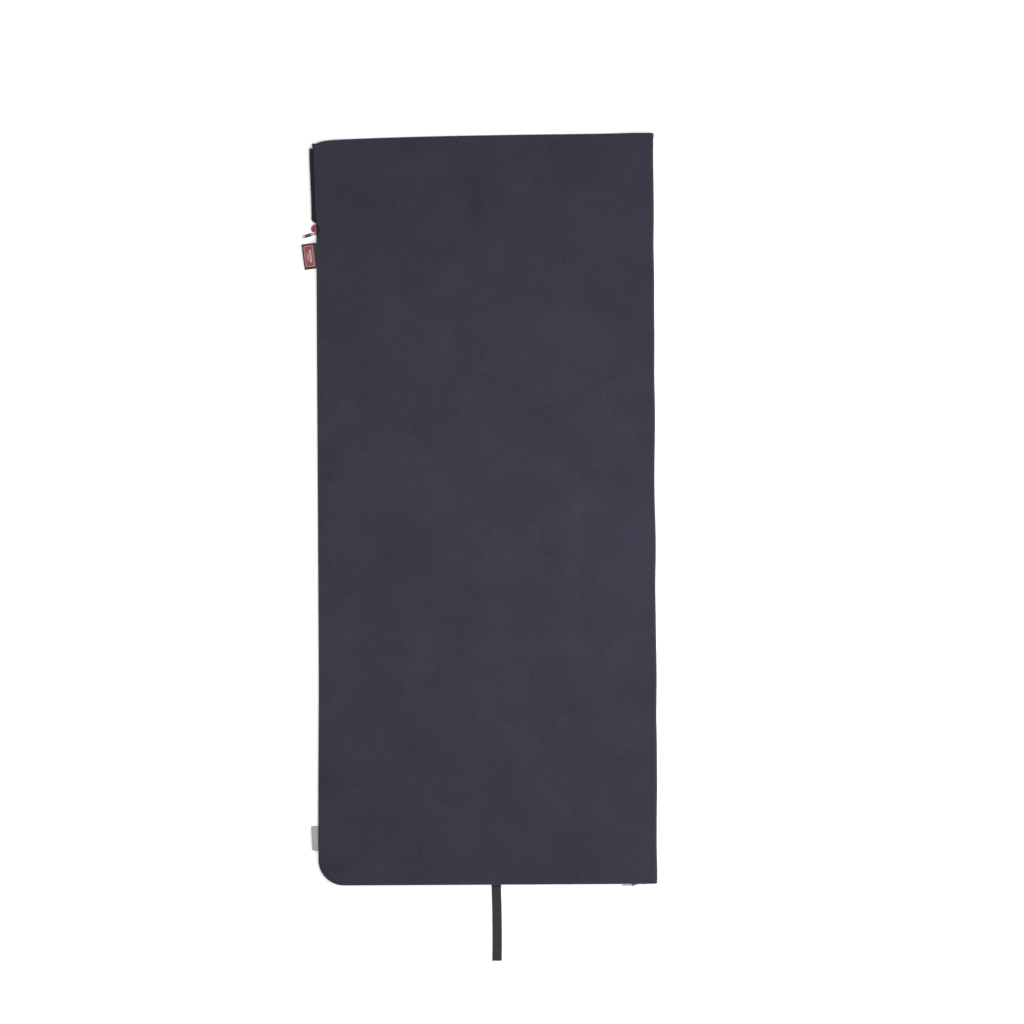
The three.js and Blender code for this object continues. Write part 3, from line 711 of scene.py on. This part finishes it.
def foldedEdge():
    # the cloth goes round the folded side, from the back layer up to the front
    centre, join = blanket["foldCentre"], blanket["join"]
    radius = midHeight - blanket["thickness"] / 2
    flat = np.linspace(join, centre, 5)
    turn = np.linspace(-math.pi / 2, math.pi / 2, 17)
    lineX = np.concatenate([flat[:-1], centre + radius * np.cos(turn), flat[::-1][1:]])
    lineZ = np.concatenate([0 * flat[:-1] - radius, radius * np.sin(turn), 0 * flat[1:] + radius])
    outX = np.concatenate([0 * flat[:-1], np.cos(turn), 0 * flat[1:]])
    outZ = np.concatenate([0 * flat[:-1] - 1, np.sin(turn), 0 * flat[1:] + 1])
    rows, columns = len(rowsY), len(lineX)
    shape = layTwoGrids(rows, columns)
    row, column, isInner = gridIndex(shape, rows, columns)
    y = rowsY[row]
    baseX, bulge = lineX[column], np.maximum(outX[column], 0) ** 2
    half = halfThickness(np.minimum(baseX, join), y)
    extra = np.maximum(half - blanket["thickness"] / 2, 0)
    half[(row == 0) | (row == rows - 1)] = 0
    half = np.where(isInner, -half, half)
    soft = 0.0009 * bulge * broadWaves(0 * y + 0.4, y * 1.5) + 0.0003 * bulge * smallWaves(0 * y, y)
    x = baseX + outX[column] * half + soft
    lift = extra * (1 - ramp(lineZ[column], -radius, -radius / 2))
    z = midHeight + lineZ[column] + outZ[column] * half + lift
    moveTo(shape, np.stack([x, y, z], axis=1))
    joinEdges(shape)
    piece = addPiece("foldedEdge", shape, look["fleece"], smooth=60)
    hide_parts("fold_strip")
    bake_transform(piece)
    return piece


backFleece = fleeceLayer("backFleece", backMiddle, "back", "back_panel")
frontFleece = fleeceLayer("frontFleece", frontMiddle, "front", "front_panel")
foldFleece = foldedEdge()
print("fleece laid:", len(rowsY), "rows,", len(columnsX), "columns")


# zip tapes and coils
def addStripMap(piece, along, across):
    # a UV map in metres, along and across the strip
    mesh = piece.data
    layer = mesh.uv_layers.new(name="strip")
    at = np.zeros(len(mesh.loops), int)
    mesh.loops.foreach_get("vertex_index", at)
    layer.data.foreach_set("uv", np.stack([along[at], across[at]], axis=1).ravel())


tape = {"thickness": 0.0005, "step": 0.006, "corner": 0.0009}


def zipTape(name, isBack, body, node):
    marks = np.arange(0, zipLength, tape["step"])
    close = zipLine["upperSliderAt"] - np.arange(-0.01, 0.045, 0.0015)
    marks = np.unique(np.concatenate([marks, close, [zipLength]]))
    bend, centre, way, side = rowPlace(marks, isBack)
    inner = bend - [zipLine["sewnWidth"], 0]
    free = centre - way * (zipLine["rowHeight"] / 2 + 0.0001)
    before = bend - [tape["corner"], 0]
    after = bend + way * tape["corner"]
    line = [inner, inner * 0.5 + before * 0.5, before]
    for t in (0.25, 0.5, 0.75):
        line.append(before * (1 - t) ** 2 + bend * 2 * t * (1 - t) + after * t * t)
    line += [after, after * 0.5 + free * 0.5, free]
    line = np.stack(line, axis=1)
    step = np.gradient(line, axis=1)
    across = np.stack([-step[..., 1], step[..., 0]], axis=-1)
    across = across / np.linalg.norm(across, axis=-1, keepdims=True) * tape["thickness"] / 2
    ring = np.concatenate([line + across, (line - across)[:, ::-1]], axis=1)
    points = fromSection(marks[:, None] + 0 * ring[..., 0], isBack, ring)
    shape = skin(points)
    piece = addPiece(name, shape, look["tape"], body, smooth=50)
    co = np.array([v.co for v in piece.data.vertices])
    addStripMap(piece, *stripPlace(co))
    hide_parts(node)
    return piece


def stripPlace(co):
    # along the zip, and across from the sewn edge out, for points near it
    cornerX = blanket["left"] + blanket["footCorner"]
    cornerY = blanket["foot"] + blanket["footCorner"]
    dx, dy = cornerX - co[:, 0], cornerY - co[:, 1]
    turn = np.arctan2(np.maximum(dy, 0), np.maximum(dx, 1e-6))
    along = np.where(dy < 0, sideTop - co[:, 1], sideRun + turn * turnRadius)
    along = np.where(dx < 0, sideRun + turnRun - dx, along)
    across = np.hypot(np.maximum(dx, 0) * (dx > 0), np.maximum(dy, 0))
    return along, across + np.abs(co[:, 2] - midHeight)


coil = {
    "pitch": 0.0018, "wire": 0.00028, "turnSteps": 8, "head": 0.0003, "start": 0.0044, "endGap": 0.0125,
}


def zipCoil(name, isBack, body, node):
    start, end = coil["start"], zipLength - coil["endGap"]
    turns = int((end - start) / coil["pitch"])
    steps = coil["turnSteps"]
    count = turns * steps + 1
    angle = 2 * math.pi * np.arange(count) / steps + (math.pi if isBack else 0)
    marks = start + coil["pitch"] * np.arange(count) / steps
    bend, centre, way, side = rowPlace(marks, isBack)
    reach = zipLine["rowHeight"] / 2 + 0.00005
    wide = zipLine["rowThickness"] / 2 - coil["wire"]
    cosine, sine = np.cos(angle)[:, None], np.sin(angle)[:, None]
    middle = centre + way * (reach * cosine + coil["head"]) + side * wide * sine
    radial = way * cosine / reach + side * sine / wide
    radial = radial / np.linalg.norm(radial, axis=-1, keepdims=True) * coil["wire"]
    rings = []
    for out, along in ((1, 0), (0, 1), (-1, 0), (0, -1)):
        rings.append(fromSection(marks + along * coil["wire"], isBack, middle + out * radial))
    shape = skin(np.stack(rings, axis=1))
    piece = addPiece(name, shape, look["coil"], body, smooth=0)
    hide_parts(node)
    return piece


zipTape("backTape", True, "back", "back_zip_tape")
zipTape("frontTape", False, "front", "front_zip_tape")
zipCoil("backCoil", True, "back", "back_coil")
zipCoil("frontCoil", False, "front", "front_coil")
print("zip run:", round(zipLength, 4), "m")


# stitching
thread = {"length": 0.0031, "gap": 0.0006, "width": 0.00045, "height": 0.0003}


def stitchRow(name, points, ups, material, body, nodes=()):
    # one short bead of thread for each stitch along a line of points
    shape = bmesh.new()
    points, ups = np.asarray(points), np.asarray(ups)
    steps = np.linalg.norm(np.diff(points, axis=0), axis=1)
    run = np.concatenate([[0], np.cumsum(steps)])
    pitch = thread["length"] + thread["gap"]
    for s in np.arange(pitch, run[-1] - pitch, pitch):
        at = Vector([np.interp(s, run, points[:, k]) for k in range(3)])
        ahead = Vector([np.interp(s + pitch / 2, run, points[:, k]) for k in range(3)])
        up = Vector([np.interp(s, run, ups[:, k]) for k in range(3)]).normalized()
        forward = (ahead - at).normalized()
        across = up.cross(forward).normalized()
        turn = Matrix((forward, across, forward.cross(across))).transposed().to_4x4()
        size = Matrix.Diagonal((thread["length"] / 2, thread["width"] / 2, thread["height"], 1))
        bmesh.ops.create_icosphere(
            shape, subdivisions=1, radius=1, matrix=Matrix.Translation(at) @ turn @ size
        )
    piece = addPiece(name, shape, material, body, smooth=0)
    if nodes:
        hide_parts(*nodes)
    return piece


seamMarks = np.concatenate([
    np.linspace(0.002, sideRun, 220), np.linspace(sideRun, sideRun + turnRun, 24)[1:],
    np.linspace(sideRun + turnRun, zipLength - 0.002, 100)[1:],
])


def seamLine(inset, heightOf):
    points = besideZip(seamMarks, -inset - zipLine["proud"], 0)
    points[:, 0] += leftMove(points[:, 1]) * nearLeft(points[:, 0])
    points[:, 2] = heightOf(points[:, 0], points[:, 1])
    return points


def frontTop(x, y):
    return frontMiddle(x, y) + halfThickness(x, y)


def frontUnder(x, y):
    return frontMiddle(x, y) - halfThickness(x, y)


def backTop(x, y):
    return backMiddle(x, y) + halfThickness(x, y)


def sewSeam(name, heightOf, up, material, body, nodes=()):
    line = seamLine(fleece["seamInset"], heightOf)
    stitchRow(name, line, [up] * len(line), material, body, nodes)


def sewHem(name, heightOf, up, body, nodes=()):
    line = hemLine(heightOf)
    stitchRow(name, line, [up] * len(line), look["thread"], body, nodes)


tapeLift = midHeight - zipLine["tapeWall"] + tape["thickness"] / 2
up, down = [0, 0, 1], [0, 0, -1]


def backTapeTop(x, y):
    return tapeLift + 0 * x


def frontTapeUnder(x, y):
    return 2 * midHeight - tapeLift + 0 * x


def hemLine(heightOf):
    x = np.linspace(blanket["left"] + 0.004, blanket["join"] - 0.001, 240)
    y = blanket["mouth"] - mouthDrop(x) - fleece["hemDepth"]
    return np.stack([x, y, heightOf(x, y)], axis=1)


sewSeam("frontTopstitch", frontTop, up, look["thread"], "front", ["front_seam_thread"])
sewSeam("backInnerStitch", backTapeTop, up, look["darkThread"], "back", ["back_seam_thread"])
sewSeam("frontInnerStitch", frontTapeUnder, down, look["darkThread"], "front")
sewHem("frontHemStitch", frontTop, up, "front", ["front_hem_thread"])
sewHem("frontHemUnder", frontUnder, down, "front")
sewHem("backHemStitch", backTop, up, "back", ["back_hem_thread"])
print("stitching done")


# cast and moulded parts: the frame's own shapes with rounded edges
def roundedCopy(source, name, width, material, body, angle=28):
    shape = bmesh.new()
    shape.from_mesh(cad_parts[source].data)
    bmesh.ops.remove_doubles(shape, verts=shape.verts, dist=2e-6)
    bmesh.ops.dissolve_limit(
        shape, angle_limit=math.radians(1), verts=shape.verts, edges=shape.edges
    )
    inner = [e for e in shape.edges if len(e.link_faces) == 2]
    crisp = [e for e in inner if e.calc_face_angle(0) > math.radians(angle)]
    bmesh.ops.bevel(
        shape, geom=crisp, offset=width, segments=2, profile=0.5, affect="EDGES", material=-1,
        clamp_overlap=True,
    )
    piece = addPiece(name, shape, material, body, smooth=40)
    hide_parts(source)
    return piece


roundedCopy("upper_slider_body", "upperSlider", 0.00016, look["metal"], "upper_slider")
roundedCopy("upper_slider_guard", "sliderGuard", 0.00025, look["guard"], "upper_slider")
roundedCopy("lower_slider_body", "lowerSlider", 0.00016, look["gunmetal"], "lower_slider")
roundedCopy("lower_pull_tab", "lowerTab", 0.00022, look["gunmetal"], "lower_tab")
roundedCopy("upper_pull_tab", "upperTab", 0.00022, look["metal"], "upper_tab")
for side in ("back", "front"):
    roundedCopy(side + "_end_pin", side + "EndPin", 0.0002, look["coil"], side)
    roundedCopy(side + "_top_stop", side + "TopStop", 0.00015, look["metal"], side)

tabInlay = {"start": 0.0112, "end": 0.0224, "halfWidth": 0.0027, "rise": 0.0002, "corner": 0.0009}


def inlayPlate(name, side):
    # a dark enamelled plate let into one face of the upper tab
    places = np.array([v.co[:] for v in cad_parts["upper_pull_tab"].data.vertices])
    along, across, up = np.linalg.svd(places - places.mean(axis=0))[2]
    along = -along if along[0] > 0 else along
    up = -up if up[2] < 0 else up
    start, lowUp, highUp = (places @ along).min(), (places @ up).min(), (places @ up).max()
    middle = (
        along * (start + (tabInlay["start"] + tabInlay["end"]) / 2)
        + across * ((places @ across).min() + (places @ across).max()) / 2
        + up * ((lowUp + highUp) / 2 + side * (highUp - lowUp) / 2)
    )
    size = (tabInlay["end"] - tabInlay["start"], 2 * tabInlay["halfWidth"], 2 * tabInlay["rise"])
    turn = np.stack([along * size[0], across * size[1], up * size[2]], axis=1)
    shape = bmesh.new()
    bmesh.ops.create_cube(shape, size=1)
    corners = [e for e in shape.edges if abs(e.verts[0].co.z - e.verts[1].co.z) > 0.5]
    moveTo(shape, np.array([v.co[:] for v in shape.verts]) @ turn.T + middle)
    bmesh.ops.bevel(
        shape, geom=corners, offset=tabInlay["corner"], segments=3, profile=0.5, affect="EDGES",
        clamp_overlap=True,
    )
    return addPiece(name, shape, look["gunmetal"], "upper_tab", smooth=30)


inlayPlate("tabInlayTop", 1)
inlayPlate("tabInlayUnder", -1)
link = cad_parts["upper_pull_link"]
link.data.materials.clear()
link.data.materials.append(look["metal"])
print("sliders, guard and tabs rounded")


# labels
def ribbonSheet(name, rows, columns, place, thickness, material, body):
    # a thin curved sheet: place(u, v) gives its middle, u and v from 0 to 1
    shape = layGrid(rows, columns)
    row, column, _ = gridIndex(shape, rows, columns)
    moveTo(shape, place(column / (columns - 1), row / (rows - 1)))
    bmesh.ops.solidify(shape, geom=shape.faces[:], thickness=thickness)
    return addPiece(name, shape, material, body, smooth=60)


sideLabel = {
    "height": 0.065, "reach": 0.0355, "fromMouth": 0.3065, "tilt": 7, "droop": 0.0035, "curl": 0.0009,
    "sewnIn": 0.011, "cloth": 0.00028, "underCloth": 0.00024, "print": 0.00016, "trimWide": 0.0011,
}
labelLow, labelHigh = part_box("side_label")
labelHeight = (labelLow.z + labelHigh.z) / 2
labelTurn = Matrix.Rotation(math.radians(sideLabel["tilt"]), 3, "Z")


def onLabel(out, along, lift):
    # out from the blanket's edge and along it from the label's middle
    out, along = np.asarray(out, float), np.asarray(along, float)
    fall = sideLabel["droop"] * (np.maximum(out, 0) / sideLabel["reach"]) ** 1.7
    lean = np.sin(along / sideLabel["height"] * 5 + 0.6)
    curl = sideLabel["curl"] * lean * np.maximum(out, 0) / sideLabel["reach"]
    local = np.stack([-out, along, lift - fall + curl], axis=-1)
    turned = local @ np.array(labelTurn).T
    return turned + [blanket["left"], blanket["mouth"] - sideLabel["fromMouth"], labelHeight]


def labelSheet(name, outs, alongs, lift, thickness, material, steps=14):
    place = lambda u, v: onLabel(
        outs[0] + (outs[1] - outs[0]) * u, alongs[0] + (alongs[1] - alongs[0]) * v, lift + 0 * u
    )
    return ribbonSheet(name, steps * 2, steps, place, thickness, material, "front")


half, reach, sewnIn = sideLabel["height"] / 2, sideLabel["reach"], -sideLabel["sewnIn"]
ground = labelSheet(
    "sideLabel", (sewnIn, reach), (-half, half), 0.00012, sideLabel["cloth"], look["labelGround"]
)
labelSheet(
    "sideLabelUnder", (sewnIn, reach - 0.0004), (-half + 0.0004, half - 0.0002), -0.00022,
    sideLabel["underCloth"], look["labelGround"],
)
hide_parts("side_label")
labelSheet(
    "labelPanel", (0.0062, reach - 0.0028), (-half + 0.0052, half - 0.004), 0.0003,
    sideLabel["print"], look["labelPanel"],
)
trimWide = sideLabel["trimWide"]
innerOut, outerOut = 0.0082, reach - 0.0048
lowAlong, highAlong = -half + 0.0072, half - 0.006
for name, outs, alongs in (
    ("labelTrimA", (innerOut, innerOut + trimWide), (lowAlong, highAlong)),
    ("labelTrimB", (outerOut - trimWide, outerOut), (lowAlong, highAlong)),
    ("labelTrimC", (innerOut, outerOut), (lowAlong, lowAlong + trimWide)),
    ("labelTrimD", (innerOut, outerOut), (highAlong - trimWide, highAlong)),
    ("labelTrimE", (0.0135, 0.0185), (-0.016, 0.016)),
    ("labelTrimF", (0.0215, 0.0240), (-0.011, 0.011)),
):
    labelSheet(name, outs, alongs, 0.00044, sideLabel["print"], look["labelTrim"], steps=8)

careLabel = {
    "height": 0.0615, "reach": 0.021, "fromFoot": 0.1205, "slant": 0.05, "sewnIn": 0.009,
    "cloth": 0.00018, "wave": 0.0004,
}


def careLeaf(name, reach, shift, lift, droop):
    def place(u, v):
        out = -careLabel["sewnIn"] + (reach + careLabel["sewnIn"]) * u
        along = (v - 0.5) * careLabel["height"] + shift
        fall = droop * (np.maximum(out, 0) / reach) ** 1.6
        wave = careLabel["wave"] * np.sin(along * 120 + shift * 900) * np.maximum(out, 0) / reach
        return np.stack([
            blanket["left"] - out - careLabel["slant"] * along,
            blanket["foot"] + careLabel["fromFoot"] + along,
            labelHeight + lift - fall + wave,
        ], axis=-1)

    return ribbonSheet(name, 26, 12, place, careLabel["cloth"], look["careLabel"], "front")


upperLeaf = careLeaf("careLabel", careLabel["reach"], 0, 0.00025, 0.0009)
careLeaf("careLabelUnder", careLabel["reach"] - 0.003, -0.0016, -0.0002, 0.0011)
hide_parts("care_label")
print("labels sewn in")


# roll-up loop
loop = {"width": 0.0242, "length": 0.194, "webbing": 0.0011, "gap": 0.005, "offset": 0.0185}
loopLow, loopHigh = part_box("roll_loop")


def loopPath():
    # out along the floor, round the end and back over itself to the seam
    half = loop["webbing"] / 2
    root, tip = loopHigh.y, loopLow.y
    high = loop["gap"] + 2 * loop["webbing"] - half
    bend = (high - half) / 2
    lower = [
        (root + 0.012, 0.0042), (root + 0.006, 0.0042), (root + 0.002, 0.0036),
        (root - 0.002, half + 0.0008), (root - 0.007, half), (root - 0.03, half),
    ]
    lower += [(y, half) for y in np.linspace(root - 0.05, tip + bend + half, 16)]
    turn = [
        (tip + half + bend - bend * math.sin(a), half + bend - bend * math.cos(a))
        for a in np.linspace(0, math.pi, 11)[1:-1]
    ]
    back = np.linspace(tip + bend + half, root - 0.05, 16)
    upper = [(y, high + 0.0006 * math.sin((y - tip) * 40)) for y in back]
    upper += [
        (root - 0.034, high - 0.0002), (root - 0.022, 0.0047), (root - 0.012, 0.0028), (root - 0.006, 0.0024),
        (root - 0.002, 0.0030), (root + 0.002, 0.0044), (root + 0.006, 0.0047), (root + 0.012, 0.0047),
    ]
    return np.array(lower + turn + upper)


def makeLoop():
    line = loopPath()
    step = np.gradient(line, axis=0)
    normal = np.stack([step[:, 1], -step[:, 0]], axis=1)
    normal /= np.linalg.norm(normal, axis=1, keepdims=True)
    run = np.concatenate([[0], np.cumsum(np.linalg.norm(np.diff(line, axis=0), axis=1))])
    pinch = 0.42 + 0.58 * ramp(loopHigh.y - line[:, 0], -0.004, 0.004)
    across = np.array([-1, -0.985, -0.93, -0.75, -0.45, -0.15, 0.15, 0.45, 0.75, 0.93, 0.985, 1])
    thick = np.array([0.25, 0.62, 0.92, 1, 1, 1, 1, 1, 1, 0.92, 0.62, 0.25]) * loop["webbing"] / 2
    drift = 0.0018 * np.sin((loopHigh.y - line[:, 0]) / loop["length"] * 2.6)
    rings = []
    for sign in (1, -1):
        order = slice(None) if sign > 0 else slice(None, None, -1)
        wide, deep = across[order], thick[order]
        x = loop["offset"] + drift[:, None] + wide[None] * loop["width"] / 2
        y = line[:, :1] + sign * normal[:, :1] * deep[None] * pinch[:, None]
        z = line[:, 1:] + sign * normal[:, 1:] * deep[None] * pinch[:, None]
        rings.append(np.stack([x, y, z + 0 * x], axis=-1))
    points = np.concatenate(rings, axis=1)
    shape = skin(points)
    piece = addPiece("rollLoop", shape, look["webbing"], smooth=50)
    co = np.array([v.co for v in piece.data.vertices])
    nearest = np.abs(co[:, None, 1:] - line[None]).sum(-1).argmin(1)
    addStripMap(piece, run[nearest], co[:, 0])
    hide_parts("roll_loop")
    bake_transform(piece)
    return piece


rollLoop = makeLoop()


def makeBartack():
    low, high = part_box("loop_bartack")
    count = 40
    x = np.linspace(low.x, high.x, count)
    y = (low.y + high.y) / 2 + 0.0011 * np.where(np.arange(count) % 2, 1, -1)
    z = 0 * x + (low.z + high.z) / 2
    shape = bmesh.new()
    corners = np.stack([x, y, z], 1)
    for a, b in zip(corners[:-1], corners[1:]):
        a, b = Vector(a), Vector(b)
        forward = (b - a).normalized()
        across = Vector((0, 0, 1)).cross(forward)
        turn = Matrix((forward, across, forward.cross(across))).transposed().to_4x4()
        size = Matrix.Diagonal(((b - a).length * 0.56, 0.00028, 0.00022, 1))
        place = Matrix.Translation((a + b) / 2) @ turn @ size
        bmesh.ops.create_icosphere(shape, subdivisions=1, radius=1, matrix=place)
    piece = addPiece("loopBartack", shape, look["thread"], "loop", smooth=0)
    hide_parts("loop_bartack")


makeBartack()
print("roll-up loop sewn on")


# floor
def makeFloor():
    shape = bmesh.new()
    bmesh.ops.create_grid(shape, x_segments=4, y_segments=4, size=14)
    bmesh.ops.translate(shape, verts=shape.verts, vec=(0, 0, cadBox[0].z - 0.0003))
    floor = addPiece("floor", shape, look["floor"], smooth=0)


makeFloor()
